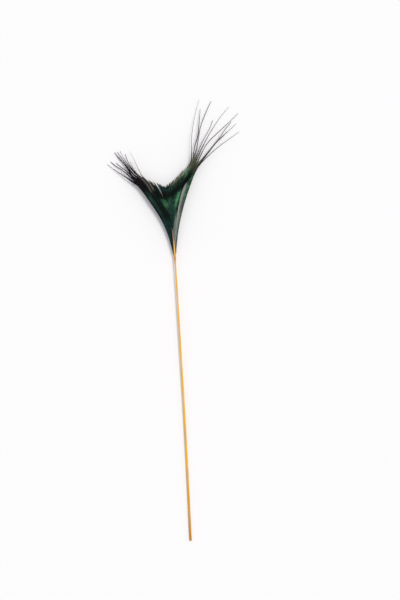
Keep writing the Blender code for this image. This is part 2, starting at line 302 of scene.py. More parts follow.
leftWisps = [
    (0.000, 0.065, 3, 0.70, 0.22, 0.0, [(-37.6, 71.8), (-43.5, 76.3), (-51.4, 82.3), (-56.3, 86.3)]),
    (0.065, 0.125, 3, 0.65, 0.25, 0.0, [(-36.2, 74.0), (-43.2, 80.3), (-48.4, 84.3), (-53.2, 88.8)]),
    (0.125, 0.190, 3, 0.60, 0.25, 0.3, [(-35.3, 75.3), (-40.4, 80.2), (-48.3, 87.3)]),
    (0.190, 0.290, 10, 0.85, 0.55, 0.6,
     [(-33.6, 72.9), (-36.8, 80.0), (-40.9, 86.3), (-45.1, 91.4), (-48.9, 96.9)]),
    (0.290, 0.345, 3, 0.75, 0.25, 1.0, [(-32.6, 75.7), (-37.5, 83.2), (-43.0, 91.7), (-46.4, 97.2)]),
    (0.345, 0.400, 3, 0.75, 0.25, 1.2, [(-30.9, 76.2), (-36.2, 83.2), (-40.8, 90.7), (-43.9, 98.0)]),
    (0.400, 0.450, 3, 0.70, 0.25, 0.9, [(-30.2, 76.1), (-35.0, 82.8), (-37.5, 88.1), (-39.3, 95.2)]),
    (0.450, 0.485, 2, 0.60, 0.50, 2.6, [(-28.1, 74.6), (-31.8, 80.2), (-35.2, 88.0)]),
    (0.485, 0.515, 1, 0.50, 0.25, 4.4, [(-26.6, 73.6), (-31.6, 79.4)]),
    (0.515, 0.545, 1, 0.20, 0.10, 2.8, [(-24.6, 74.0), (-28.6, 82.3), (-32.1, 91.1), (-35.5, 97.4)]),
]

# Places where barbs stand apart: share on the shaft, marks where the gap opens, is widest, starts to
# close and ends, half its width, and how far the push is felt in shares
leftPartings = [
    (0.79, 1.6, 4.2, 9.0, 9.9, 0.62, 0.04), (0.545, 4.6, 6.0, 9.0, 9.9, 0.35, 0.02),
    (0.70, 4.9, 6.0, 9.0, 9.9, 0.28, 0.02), (0.93, 4.6, 6.0, 9.0, 9.9, 0.22, 0.02),
]
rightPartings = [
    (0.165, 0.9, 2.4, 3.4, 4.5, 0.2, 0.03), (0.62, 4.9, 6.0, 9.0, 9.9, 0.35, 0.02),
    (0.71, 4.5, 6.0, 9.0, 9.9, 0.32, 0.02), (0.80, 4.8, 6.0, 9.0, 9.9, 0.30, 0.02),
    (0.88, 4.4, 6.0, 9.0, 9.9, 0.34, 0.02), (0.95, 4.2, 6.0, 9.0, 9.9, 0.25, 0.02),
    (0.09, 0.9, 1.6, 2.4, 3.4, 0.16, 0.02), (0.545, 4.8, 6.0, 9.0, 9.9, 0.3, 0.02),
]

# Half widths and depths, in millimetres. Pairs of marks run from none to full, others from least to most.
vaneLook = {
    "barbs": 112, "hornSteps": 30, "fringeSteps": 18, "lift": 0.25,
    "width": 0.16, "depth": 0.2, "tip": 0.2, "wispWidens": (5.5, 7.0),
    "tufts": 30, "tuftStray": 0.011, "tuftTone": (0.5, 1.45), "tuftHeight": 0.3,
    "clump": 0.5, "clumpMarks": (1.6, 5.6), "unclumpMarks": (8.5, 6.5),
    "tooth": 1.9, "toothMiddle": 0.6, "heights": (0.24, 7.7),
    "lowCorner": (-56.62, -259.0, 0.03), "highCorner": (65.78, 140.84, 7.98),
}
barbuleLook = {
    "spacing": 0.28, "length": 1.6, "lengths": (0.7, 1.2), "width": 0.17, "thickness": 0.05,
    "angle": 33.0, "wispAngle": 15.0, "angleStray": 4.0, "fringeMarks": (4.9, 6.0), "rimShare": 0.2,
    "gapTries": 3, "gapShorter": 0.55, "gapLoss": 0.85, "hornFrom": 4.6,
}

# What differs between the sides. "bare" holds places that lost barbules: two ranges of shares, one of
# marks, the part that is lost, and how much shorter the rest are.
everyBarb = (-2.0, -1.0)
leftVane = {
    "name": "left", "turn": -1.0, "seed": 3,
    "rows": leftRows, "wisps": leftWisps, "partings": leftPartings,
    "wispWidth": 0.42, "wispTip": 0.1, "closeUp": 3.6, "shortWisps": 0.9,
    "trim": 0.5, "neckTrim": 0.0, "fringeWear": 0.0,
    "wispBarbule": 0.7, "wispMarks": (5.8, 9.0), "wispLoss": 0.65, "fringeLoss": 0.45,
    "bare": [((0.36, 0.42), (0.62, 0.56), (4.4, 5.0), 0.4, 0.45)],
}
rightVane = {
    "name": "right", "turn": 1.0, "seed": 7,
    "rows": rightRows, "wisps": rightWisps, "partings": rightPartings,
    "wispWidth": 0.45, "wispTip": 0.16, "closeUp": 2.8, "shortWisps": 0.75,
    "trim": 0.25, "neckTrim": 1.3, "fringeWear": 1.1,
    "wispBarbule": 0.5, "wispMarks": (5.3, 6.9), "wispLoss": 0.85, "fringeLoss": 0.55,
    "bare": [(everyBarb, (0.32, 0.27), (2.6, 1.6), 0.75, 0.0),
             (everyBarb, (0.17, 0.15), (3.6, 2.6), 0.5, 0.0)],
}


def unit(vectors):
    return vectors / np.linalg.norm(vectors, axis=1)[:, None]


def lengthsAlong(line, leastStep=0.0):
    steps = np.linalg.norm(np.diff(line, axis=0), axis=1)
    return np.concatenate([[0], np.cumsum(np.maximum(steps, leastStep))])


def readLine(where, run, values):
    # columns of values along a run, read at other places of it
    return np.stack([np.interp(where, run, column) for column in values.T], axis=1)


def guideAt(rows, share, column):
    shares = [row[0] for row in rows]
    return readLine([share], shares, np.array([row[column] for row in rows]))[0]


def acrossOf(line):
    # level unit vectors to the right of a line
    ahead = np.gradient(line, axis=0)
    return unit(np.stack([ahead[:, 1], -ahead[:, 0], np.zeros(len(line))], axis=1))


def rootOf(vane, share):
    # barbs leave the shaft's side low down, and its top further up
    y = 60.0 * share
    x, z, r = shaftAt(y)[0]
    over = ease(share, 0.22, 0.5)
    return np.array([x + vane["turn"] * r * (0.75 - 0.6 * over), y, z + r * (1.15 + 0.75 * over)])


def guidesOf(vane, share):
    # the points of a barb from the shaft to the fringe or the neck
    lift = np.array([0, 0, vaneLook["lift"]])
    return [rootOf(vane, share)] + [guideAt(vane["rows"], share, column) + lift for column in (1, 2, 3)]


def curveByMarks(points, marks, at):
    lengths = lengthsAlong(points, 0.3)
    return curveThrough(lengths, points, np.interp(at, marks, lengths))


def wispOf(vane, share):
    return [wisp for wisp in vane["wisps"] if wisp[0] <= share][-1]


def wispCurve(vane, share, at, stray):
    # a horn's barb: it runs with its neighbours to the neck, then closes up with the others of its wisp
    low, high, bundle, tipHeight, way = [wispOf(vane, share)[k] for k in (0, 1, 4, 5, 6)]
    points = guidesOf(vane, share)
    marks = list(guideMarks)
    centre = guideAt(vane["rows"], 0.5 * (low + high), 3)
    flat = np.vstack([centre[:2], way])
    runs = lengthsAlong(flat)
    side = acrossOf(np.column_stack([flat, np.zeros(len(flat))]))
    offset = float((points[3] - centre) @ side[0])
    for k, u in enumerate(runs / runs[-1]):
        if k == 0:
            continue
        spread = offset * (1 - u) ** vane["closeUp"] * 0.55
        spread += bundle * (stray[0] * u + 1.2 * stray[1] * math.sin(math.pi * u))
        # between the neck and its tip a wisp arches slightly
        height = vaneLook["lift"] + centre[2] * (1 - u) + tipHeight * u + 1.4 * u * (1 - u)
        points.append(np.append(flat[k], height) + side[k] * spread)
        marks.append(neckMark + (tipMark - neckMark) * u)
    return curveByMarks(points, marks, at)


def barbCurve(vane, share, at, stray=(0, 0, 0)):
    if share < hornEnd:
        return wispCurve(vane, share, at, stray)
    return curveByMarks(guidesOf(vane, share), guideMarks, at)


def parted(vane, line, at, share, partings):
    # pushes a barb away from the gaps beside it
    for where, opens, full, closing, ends, half, felt in partings:
        width = half * ease(at, opens, full) * ease(at, ends, closing)
        push = np.exp(-abs(share - where) / felt) * (1.0 if share > where else -1.0)
        line = line - acrossOf(line) * (vane["turn"] * push * width)[:, None]
    return line


def gapOutline(vane, parting):
    # a gap's level outline between the barbs beside it, and 2 mm past the fringe where it is open there
    where, opens, ends = parting[0], parting[1], parting[4]
    at = np.linspace(opens, min(ends, neckMark), 24)
    sides = []
    for share in (where - 0.004, where + 0.004):
        line = parted(vane, barbCurve(vane, share, at), at, share, [parting])[:, :2]
        if ends > neckMark:
            step = line[-1] - line[-2]
            line = np.vstack([line, line[-1] + 2.0 * step / np.linalg.norm(step)])
        sides.append(line)
    return np.vstack([sides[0], sides[1][::-1]])


def inside(points, outline):
    # which level points lie inside a closed outline
    x, y = points[:, 0], points[:, 1]
    odd = np.zeros(len(points), bool)
    for (ax, ay), (bx, by) in zip(outline, np.roll(outline, -1, axis=0)):
        if ay != by:
            odd ^= ((ay > y) != (by > y)) & (x < (bx - ax) * (y - ay) / (by - ay) + ax)
    return odd


def tubes(lines, halfWidths, halfDepths):
    # closed tapering tubes of four sides round lines of any length
    points, quads, owner = [], [], []
    first = 0
    for k, line in enumerate(lines):
        side = acrossOf(line)
        ahead = unit(np.gradient(line, axis=0))
        wide = side * halfWidths[k][:, None]
        deep = np.cross(side, ahead) * halfDepths[k][:, None]
        points.append(np.stack([line + wide, line + deep, line - wide, line - deep], axis=1).reshape(-1, 3))
        n = len(line)
        j, i = [a.ravel() for a in np.meshgrid(np.arange(n - 1), np.arange(4), indexing="ij")]
        after = (i + 1) % 4
        near, far = j * 4, (j + 1) * 4
        quads.append(first + np.stack([near + i, far + i, far + after, near + after], axis=1))
        quads.append(first + np.array([[0, 1, 2, 3], [n * 4 - 1, n * 4 - 2, n * 4 - 3, n * 4 - 4]]))
        owner.append(np.full(n * 4, k))
        first += n * 4
    return np.concatenate(points), np.concatenate(quads), np.concatenate(owner)


# How dye, pigment and wear lie on each side, every amount from 0 to 1. Lists are (place, amount) and pairs
# are ranges from none to full, by a barb's share ("Barbs"), marks ("Marks") or chance number ("Chance"), or
# by millimetres from the free edge ("Depth"). Two pairs say where it comes in and where it goes out. A
# spacing is in millimetres, and a shift moves the pattern from tuft to tuft.
rightDye = {
    "greenDepth": [(0, 0.8), (3, 0.95), (5, 0.95), (6.3, 0.5), (7.4, 0.05), (10.6, 0.04), (12, 0.6),
                   (14, 1.0), (20, 0.9), (30, 0.75), (44, 0.7)],
    "greenBarbs": [(0, 0.25), (0.03, 0.4), (0.06, 0.9), (0.09, 0.35), (0.12, 0.85), (0.15, 0.5), (0.17, 0.04),
                   (0.25, 0.06), (0.32, 1.0), (1, 1.0)],
    "evenDepth": (34, 26), "outerBarb": 0.155, "outerMark": 6.2, "outerGreen": 0.85, "outerDepth": (20, 14),
    "brightBarbs": [(0.24, 0), (0.29, 1), (0.40, 0.8), (0.5, 0)],
    "brightDepth": [(11.2, 0), (12.8, 1), (17, 0.8), (23, 0)],
    "fleckBarbs": [(0.38, 0), (0.43, 1), (0.55, 1), (0.62, 0)],
    "fleckDepth": [(2, 0), (3.5, 1), (5, 1), (6.5, 0)], "fleckMarks": (5.9, 5.2), "fleckChance": (0.2, 0.5),
    "barSpacing": 3.2, "barShift": 30.0, "barEdge": (-0.6, 0.6), "barBlack": 0.85,
    "fringeDepth": (7, 5.5), "fringeBarbs": (0.34, 0.42),
    "rimBarbs": (0.16, 0.14), "rimDepth": (24, 16), "rimMarks": (6, 5.2), "rimBright": 0.6,
    "paleBarbs": [(0, 0), (0.03, 0.15), (0.05, 0.45), (0.08, 0.2), (0.13, 0.5), (0.17, 0)],
    "paleDepth": (10, 26),
    "lowPaleBarbs": [(0, 0), (0.04, 0.2), (0.08, 0.6), (0.15, 0.4), (0.17, 0.3), (0.21, 0.7), (0.25, 0.3),
                     (0.29, 0.5), (0.33, 0)],
    "lowPaleDepth": (24, 31),
    # painted light: the barbs beside the right gap are tinted pale, partly as real pale strands and partly to
    # stand in for lit floor showing through the gap, where the floor lies in the vane's shadow
    "gapPaleBarbs": [(0.145, 0), (0.158, 0.7), (0.168, 0.7), (0.176, 0)], "gapPaleDepth": (11, 14),
    "frayedDepth": (6.2, 1.8), "frayedBarbs": ((0.36, 0.44), (0.93, 0.76)),
    "frayedSpacing": 4.1, "frayedShift": 17.0, "neckFrayed": 0.5, "neckFrayedMarks": (7.4, 6.4),
    "tealDepth": [(0, 0.9), (6, 0.7), (14, 0.1), (20, 0.25), (32, 0.7), (44, 0.9)],
    "fringeTeal": 10, "fringeTealBarbs": [(0.5, 0.1), (0.7, 0.3), (0.85, 1.0)],
    "neckBarbs": (0.57, 0.53), "neckMarks": (5, 6.2), "wispBlackMarks": (5.8, 7),
    "warmMarks": (6.2, 7.6), "warmBarbs": (0.6, 0.5), "warm": 0.9,
    "blackWisps": ((0.045, 0.1), (0.43, 0.485)), "blackWarm": 0.3,
}
leftDye = {
    "greenBarbs": [(0, 0), (0.06, 0), (0.09, 0.4), (0.12, 0.85), (0.19, 0.85), (0.22, 0.6), (0.24, 0),
                   (0.37, 0), (0.41, 0.16), (0.52, 0.08), (0.60, 0.4), (0.7, 0.8), (1, 0.9)],
    "evenDepth": (28, 36), "evenGreen": 0.62, "crescentBarb": 0.5,
    "greenDepth": [(0, 0.5), (5, 0.45), (6.5, 0.04), (11.5, 0.03), (13.5, 0.6), (16, 0.9), (20, 0.85)],
    "blackMarks": (4, 5.2), "blackBarbs": (0.72, 0.6), "black": 0.96,
    "brightBarbs": [(0.5, 0), (0.6, 0.35), (0.75, 0.35), (0.85, 0)],
    "brightDepth": [(11.5, 0), (13.5, 1), (17, 0.8), (22, 0)],
    "frayed": 0.35, "frayedDepth": (2.6, 0.4), "frayedBarbs": ((0.5, 0.56), (0.95, 0.88)),
    "tealDepth": [(0, 0.8), (6, 0.8), (14, 0.35), (20, 0.45), (32, 0.8), (44, 0.95)],
    "warmMarks": (7.6, 10.4), "warmBarbs": (0.6, 0.5),
    "streakChance": (0.45, 0.65), "streakMarks": (4, 4.8), "streakBarbs": ((0.34, 0.42), (0.62, 0.56)),
    "streakEndMarks": (7.4, 6.2), "streakWarm": 0.8, "streakFrayed": 0.3, "streakPale": 0.22,
    "neckWarm": 0.1, "neckMarks": (4.6, 5.8), "neckBarbs": (0.56, 0.5),
    "outerWarm": 0.7, "outerMarks": (6.4, 8.8), "outerBarbs": (0.18, 0.12),
}


def reader(dye):
    # reads an amount of a side's dye at a place, by its list or by its range
    def by(key, at):
        rows = dye[key]
        return ease(at, *rows) if isinstance(rows, tuple) else np.interp(at, *zip(*rows))
    return by


def wave(edge, spacing, shift, tuft):
    return np.sin(2 * math.pi * edge / spacing + shift * tuft)


def rightTones(dye, edge, share, at, ragged, tuft):
    by = reader(dye)
    horn = share < hornEnd
    neck = by("neckBarbs", share) * by("neckMarks", at)
    barbGreen = by("greenBarbs", share)
    green = by("greenDepth", edge) * (1.0 + (barbGreen - 1.0) * by("evenDepth", edge))
    outer = dye["outerGreen"] * barbGreen * by("outerDepth", edge)
    green = np.where((share < dye["outerBarb"]) & (at < dye["outerMark"]), np.maximum(green, outer), green)
    bright = by("brightBarbs", share) * by("brightDepth", edge)
    fleck = by("fleckBarbs", share) * by("fleckDepth", edge)
    fleck = fleck * by("fleckChance", ragged) * np.where(horn, by("fleckMarks", at), 1.0)
    # the fringe and the outer rim are barred across their barbs
    bars = ease(wave(edge, dye["barSpacing"], dye["barShift"], tuft), *dye["barEdge"])
    fringe = by("fringeDepth", edge) * by("fringeBarbs", share)
    rim = dye["rimBright"] * by("rimBarbs", share)
    rim = rim * by("rimDepth", edge) * by("rimMarks", at)
    bright = np.maximum(bright, np.maximum(fleck, rim) * bars)
    green = green * (1 - dye["barBlack"] * fringe * (1 - bars))
    # pale takes the most of the pale strands and of the painted light beside the gap
    pale = np.max([by(key + "Barbs", share) * by(key + "Depth", edge)
                   for key in ("pale", "lowPale", "gapPale")], axis=0)
    first, last = dye["frayedBarbs"]
    frayed = by("frayedDepth", edge) * ease(share, *first) * ease(share, *last) * (0.7 + 0.3 * ragged)
    frayed = frayed * (0.5 + 0.5 * wave(edge, dye["frayedSpacing"], dye["frayedShift"], tuft))
    frayed = np.maximum(frayed, dye["neckFrayed"] * ragged * neck * by("neckFrayedMarks", at))
    teal = by("tealDepth", edge)
    teal = teal * np.where(edge < dye["fringeTeal"], by("fringeTealBarbs", share), 1.0)
    wispGreen = green * (1 - neck * (0.65 + 0.35 * ragged)) * (1 - by("wispBlackMarks", at))
    green = np.where(horn, wispGreen, green)
    black = np.any([(share > low) & (share < high) for low, high in dye["blackWisps"]], axis=0)
    warm = by("warmMarks", at) * by("warmBarbs", share)
    warm = warm * np.where(black, dye["blackWarm"], dye["warm"])
    return dict(green=green, frayed=frayed, bright=bright, teal=teal, warm=warm, pale=pale)


def leftTones(dye, edge, share, at, ragged):
    by = reader(dye)
    green = by("greenBarbs", share)
    green = green + (dye["evenGreen"] - green) * by("evenDepth", edge)
    green = green * np.where(share > dye["crescentBarb"], by("greenDepth", edge), 1.0)
    green = green * (1 - dye["black"] * by("blackMarks", at) * by("blackBarbs", share))
    bright = by("brightBarbs", share) * by("brightDepth", edge)
    teal = by("tealDepth", edge)
    first, last = dye["frayedBarbs"]
    frayed = dye["frayed"] * by("frayedDepth", edge) * ease(share, *first) * ease(share, *last)
    # brown streaks on single barbs of the neck, where the black pigment thins out
    first, last = dye["streakBarbs"]
    streak = by("streakChance", ragged) * by("streakMarks", at)
    streak = streak * ease(share, *first) * ease(share, *last)
    streakEnd = streak * by("streakEndMarks", at)
    warm = np.max([
        by("warmMarks", at) * by("warmBarbs", share), dye["streakWarm"] * streak,
        dye["neckWarm"] * by("neckMarks", at) * by("neckBarbs", share),
        dye["outerWarm"] * by("outerMarks", at) * by("outerBarbs", share),
    ], axis=0)
    frayed = np.maximum(frayed, dye["streakFrayed"] * streakEnd)
    pale = dye["streakPale"] * streakEnd
    return dict(green=green, frayed=frayed, bright=bright, teal=teal, warm=warm, pale=pale)


def tones(vane, barbs, owner, points, at):
    # the tones of points on barbs, by whose barb they are on. ragged is a barb's own chance number
    share, ragged, tuft = [barbs[key][owner] for key in ("share", "chance", "tuft")]
    edge = fromEdge(points) + 1.8 * (ragged - 0.5)
    if vane is rightVane:
        fields = rightTones(rightDye, edge, share, at, ragged, tuft)
    else:
        fields = leftTones(leftDye, edge, share, at, ragged)
    fields["warm"] = fields["warm"] * (0.55 + 0.45 * ragged)
    fields["pale"] = fields["pale"] * (0.3 + 1.0 * ragged)
    return fields


def makeTufts(look, draw):
    # tufts of barbs that cling together, each with its own tone and height
    count, stray = look["tufts"], look["tuftStray"]
    inner = np.linspace(0, 1, count + 1)[1:-1] + draw.uniform(-stray, stray, count - 1)
    return {
        "edges": np.sort(np.concatenate([inner, [0.0, 1.0]])),
        "tone": draw.permutation(np.linspace(*look["tuftTone"], count)),
        "height": draw.uniform(-look["tuftHeight"], look["tuftHeight"], count),
        "chance": draw.permutation(np.linspace(0.0, 1.0, count)),
    }


def wispReach(vane, share, shares, draw):
    # the mark where a horn's barb ends: the middle barbs of a wisp run to its tip, the others part of the way
    low, high, full, reach = wispOf(vane, share)[:4]
    fellows = sorted(s for s in shares if low <= s < high)
    fromMiddle = abs(fellows.index(share) - (len(fellows) - 1) / 2)
    if fromMiddle >= full / 2 + 0.01:
        return 6.1 + 4.9 * reach * draw.random() ** vane["shortWisps"]
    return tipMark if fromMiddle < 1.01 else 8.8 + 1.9 * draw.random()


def trimmed(vane, line, at, share, horn):
    # moves a barb in or out where the sides of the vane and of the neck are cut
    trim = vane["trim"] * ease(share, 0.12, 0.0) * ease(at, 0.3, 1.5) * ease(at, 8.0, 6.0)
    neck = ease(share, 0.40, 0.50) * (1.0 if horn else ease(share, 0.66, 0.56))
    trim = trim - vane["neckTrim"] * neck * ease(at, 3.5, 5.5) * ease(at, 7.6, 6.2)
    return line - acrossOf(line) * (trim * vane["turn"])[:, None]


def layBarb(vane, look, share, shares, tufts, tuft, stray, draw):
    # one barb's line and its marks
    low, high = tufts["edges"][tuft], tufts["edges"][tuft + 1]
    middle = 0.5 * (low + high)
    horn = share < hornEnd
    if horn:
        at = np.linspace(0.0, wispReach(vane, share, shares, draw), look["hornSteps"])
        fellow = min(middle, hornEnd - 0.001)
    else:
        at = np.linspace(0.0, neckMark, look["fringeSteps"])
        fellow = max(middle, hornEnd)
    line = barbCurve(vane, share, at, stray)
    mix = look["clump"] * ease(at, *look["clumpMarks"]) * (ease(at, *look["unclumpMarks"]) if horn else 1.0)
    line = line + (barbCurve(vane, fellow, at, stray) - line) * mix[:, None]
    if not horn:
        # a tuft's middle barbs reach furthest, so the fringe ends in teeth
        outward = (line[-1] - line[-2]) / np.linalg.norm(line[-1] - line[-2])
        tooth = 1 - abs(share - middle) / (0.5 * (high - low))
        worn = vane["fringeWear"] * ease(share, 0.56, 0.64) * ease(share, 0.92, 0.82)
        reach = look["tooth"] * (tooth - look["toothMiddle"]) + 0.5 * stray[0] - worn
        line = line + outward * (reach * (at / neckMark) ** 3)[:, None]
    line = parted(vane, line, at, share, vane["partings"])
    line = trimmed(vane, line, at, share, horn)
    line[:, 2] += tufts["height"][tuft] * ease(at, 0.6, 2.0) * (ease(at, 9.0, 6.5) if horn else 1.0)
    line[:, 2] = np.clip(line[:, 2] + 0.08 * stray[2], *look["heights"])
    return line, at


def layBarbs(vane, look, draw):
    shares = (np.arange(look["barbs"]) + 0.5 + draw.uniform(-0.3, 0.3, look["barbs"])) / look["barbs"]
    shares = np.concatenate([[0.003], shares, [0.997]])     # the outermost barb and the one at the notch
    tufts = makeTufts(look, draw)
    barbs = {key: [] for key in ("line", "at", "width", "depth", "tone", "chance", "tuft")}
    barbs["share"] = shares
    for share in shares:
        stray = draw.uniform(-1, 1, 3)
        tuft = min(int(np.searchsorted(tufts["edges"], share, side="right")) - 1, look["tufts"] - 1)
        line, at = layBarb(vane, look, share, shares, tufts, tuft, stray, draw)
        horn = share < hornEnd
        tip = vane["wispTip"] if horn else look["tip"]
        taper = tip + (1 - tip) * (1 - np.linspace(0, 1, len(line)) ** (1.7 if horn else 3))
        width = look["width"] + (vane["wispWidth"] - look["width"]) * ease(at, *look["wispWidens"])
        barbs["line"].append(line)
        barbs["at"].append(at)
        barbs["width"].append(width * taper)
        barbs["depth"].append(look["depth"] * taper)
        barbs["tone"].append(tufts["tone"][tuft] * draw.uniform(0.65, 1.35))
        barbs["chance"].append(0.65 * tufts["chance"][tuft] + 0.35 * draw.random())
        barbs["tuft"].append(tufts["chance"][tuft])
    for key in ("tone", "chance", "tuft"):
        barbs[key] = np.array(barbs[key])
    return barbs


def layBarbules(vane, look, barbs, draw):
    # roots, directions and sizes of the barbules on both sides of every barb
    gather = {key: [] for key in ("root", "ahead", "out", "size", "angle", "barb", "at")}
    for k, (line, share) in enumerate(zip(barbs["line"], barbs["share"])):
        run = lengthsAlong(line)
        tracks = (line, acrossOf(line), np.gradient(line, run, axis=0))
        horn = share < hornEnd
        for hand in (-1.0, 1.0):
            count = int(run[-1] / look["spacing"])
            where = (np.arange(count) + 0.5 + draw.uniform(-0.4, 0.4, count)) / count * run[-1]
            root, across, ahead = [readLine(where, run, track) for track in tracks]
            at = np.interp(where, run, barbs["at"][k])
            half = np.interp(where, run, barbs["width"][k])
            wisp = ease(at, *vane["wispMarks"]) if horn else np.zeros(count)
            fringe = np.zeros(count) if horn else ease(at, 5.0, 6.0)
            size = look["length"] * (1 - wisp) + vane["wispBarbule"] * wisp
            size = size * draw.uniform(*look["lengths"], count)
            if not horn:
                size = size * (1 - 0.5 * ease(at, *look["fringeMarks"]))
            if hand == vane["turn"] and share < look["rimShare"]:
                # worn down to the vane's outer rim, the first barb of all
                rim = readLine(at, barbs["at"][0], barbs["line"][0][:, :2])
                reach = np.linalg.norm(root[:, :2] - rim, axis=1) + draw.uniform(0.02, 0.3, count)
                reach = reach / math.sin(math.radians(look["angle"]))
                size = np.where(at < 6.1, np.minimum(size, reach), size)
            if hand == -vane["turn"] and horn:
                size = size * (1 - 0.5 * ease(share, 0.48, 0.52) * ease(at, 4.6, 5.4))
            size = np.minimum(size, 0.2 + 0.5 * (run[-1] - where))      # shorter towards the barb's end
            angle = look["angle"] * (1 - wisp) + look["wispAngle"] * wisp
            angle = angle + draw.normal(0, look["angleStray"], count)
            keep = draw.random(count) < (1 - vane["wispLoss"] * wisp) * (1 - vane["fringeLoss"] * fringe)
            for first, last, marks, lost, shorter in vane["bare"]:
                bare = ease(share, *first) * ease(share, *last) * ease(at, *marks)
                size = size * (1 - shorter * bare)
                keep &= draw.random(count) < 1 - lost * bare
            values = {
                "root": root + across * (hand * half * 0.6)[:, None], "ahead": ahead, "out": across * hand,
                "size": size, "angle": np.radians(angle), "barb": np.full(count, k), "at": at,
            }
            for key in gather:
                gather[key].append(values[key][keep])
    laid = {key: np.concatenate(values) for key, values in gather.items()}
    ahead = unit(laid["ahead"])
    way = ahead * np.cos(laid["angle"])[:, None] + laid["out"] * np.sin(laid["angle"])[:, None]
    way[:, 2] += draw.normal(0.03, 0.07, len(way))
    laid["way"] = unit(way)
    return laid


def stopAtGaps(vane, look, laid, draw):
    # shortens the barbules that reach into a gap, and drops most of those that still do
    keep = np.ones(len(laid["size"]), bool)
    for parting in vane["partings"]:
        outline = gapOutline(vane, parting)
        for trial in range(look["gapTries"]):
            hit = np.zeros(len(keep), bool)
            for part in (0.5, 0.98):
                reached = laid["root"] + laid["way"] * (laid["size"] * part)[:, None]
                hit |= inside(reached[:, :2], outline)
            laid["size"] = np.where(hit, laid["size"] * look["gapShorter"], laid["size"])
        keep &= ~(hit & (draw.random(len(keep)) < look["gapLoss"]))
    return keep


def buildVane(vane, look, barbule, barbSkin, barbuleSkin):
    draw = np.random.default_rng(vane["seed"])
    barbs = layBarbs(vane, look, draw)
    points, quads, owner = tubes(barbs["line"], barbs["width"], barbs["depth"])
    at = np.concatenate([np.repeat(a, 4) for a in barbs["at"]])
    fields = tones(vane, barbs, owner, points, at)
    fields["depth"] = barbs["tone"][owner]
    pieces = [newMesh(vane["name"] + "Barbs", points, quads, 4, fields, barbSkin, True)]
    print(vane["name"], "barbs:", len(barbs["line"]), "points:", len(points))

    # a barbule is a spike on a base of three corners
    laid = layBarbules(vane, barbule, barbs, draw)
    keep = stopAtGaps(vane, barbule, laid, draw)
    root, way, owner = laid["root"], laid["way"], laid["barb"]
    flat = unit(np.cross(way, [0, 0, 1.0]))
    half = (0.5 * barbule["width"] * draw.uniform(0.8, 1.2, len(root)))[:, None]
    top = root + np.cross(flat, way) * barbule["thickness"]
    tip = root + way * laid["size"][:, None]
    corners = np.stack([root + flat * half, root - flat * half, top, tip], axis=1)
    corners = np.clip(corners, look["lowCorner"], look["highCorner"])
    spikes = np.array([[0, 3, 2], [2, 3, 1], [1, 3, 0], [0, 2, 1]])
    fields = tones(vane, barbs, owner, corners[:, 0], laid["at"])
    fields["depth"] = barbs["tone"][owner] * draw.uniform(0.75, 1.25, len(root))
    inHorn = laid["at"] >= barbule["hornFrom"]
    for title, chosen in (("VaneBarbules", keep & ~inHorn), ("HornBarbules", keep & inHorn)):
        count = int(chosen.sum())
        faces = (np.arange(count)[:, None, None] * 4 + spikes[None]).reshape(-1, 3)
        kept = {key: np.repeat(values[chosen], 4) for key, values in fields.items()}
        name = vane["name"] + title
        pieces.append(newMesh(name, corners[chosen].reshape(-1, 3), faces, 3, kept, barbuleSkin, False))
        print(name, "barbules:", count)
    return pieces


dyedBarb = barbMaterial("dyedBarbKeratin", barbLook, barbLook["barbShade"])
dyedBarbule = barbMaterial("dyedBarbuleKeratin", barbLook, barbLook["barbuleShade"])
leftPieces = buildVane(leftVane, vaneLook, barbuleLook, dyedBarb, dyedBarbule)
rightPieces = buildVane(rightVane, vaneLook, barbuleLook, dyedBarb, dyedBarbule)


# The shaft: a circle at the slanting cut, extruded row by row to the vane's tip. A shallow strip runs
# along each side where the barbs were stripped, a groove along the underside, and pith fills the cut end.
shaftLook = {
    "sides": 20, "cut": -258.93, "lift": 0.01, "slant": 19.0, "smoothAngle": 38.0,
    "wall": 0.30, "pithDepth": 0.5, "pithInset": 0.2, "pithDish": 0.12,
    "stripInset": 0.07, "stripDepth": 0.035, "stripTo": -6.0,
    "grooveInset": 0.05, "grooveDepth": 0.06, "grooveFrom": -190.0, "grooveTo": 55.0,
}
stubLook = {"stubs": 300, "from": -225.0, "to": -5.0, "length": 0.32, "half": 0.07, "taper": 0.55, "seed": 11}


def switch(mode):
    bpy.ops.object.mode_set(mode=mode)


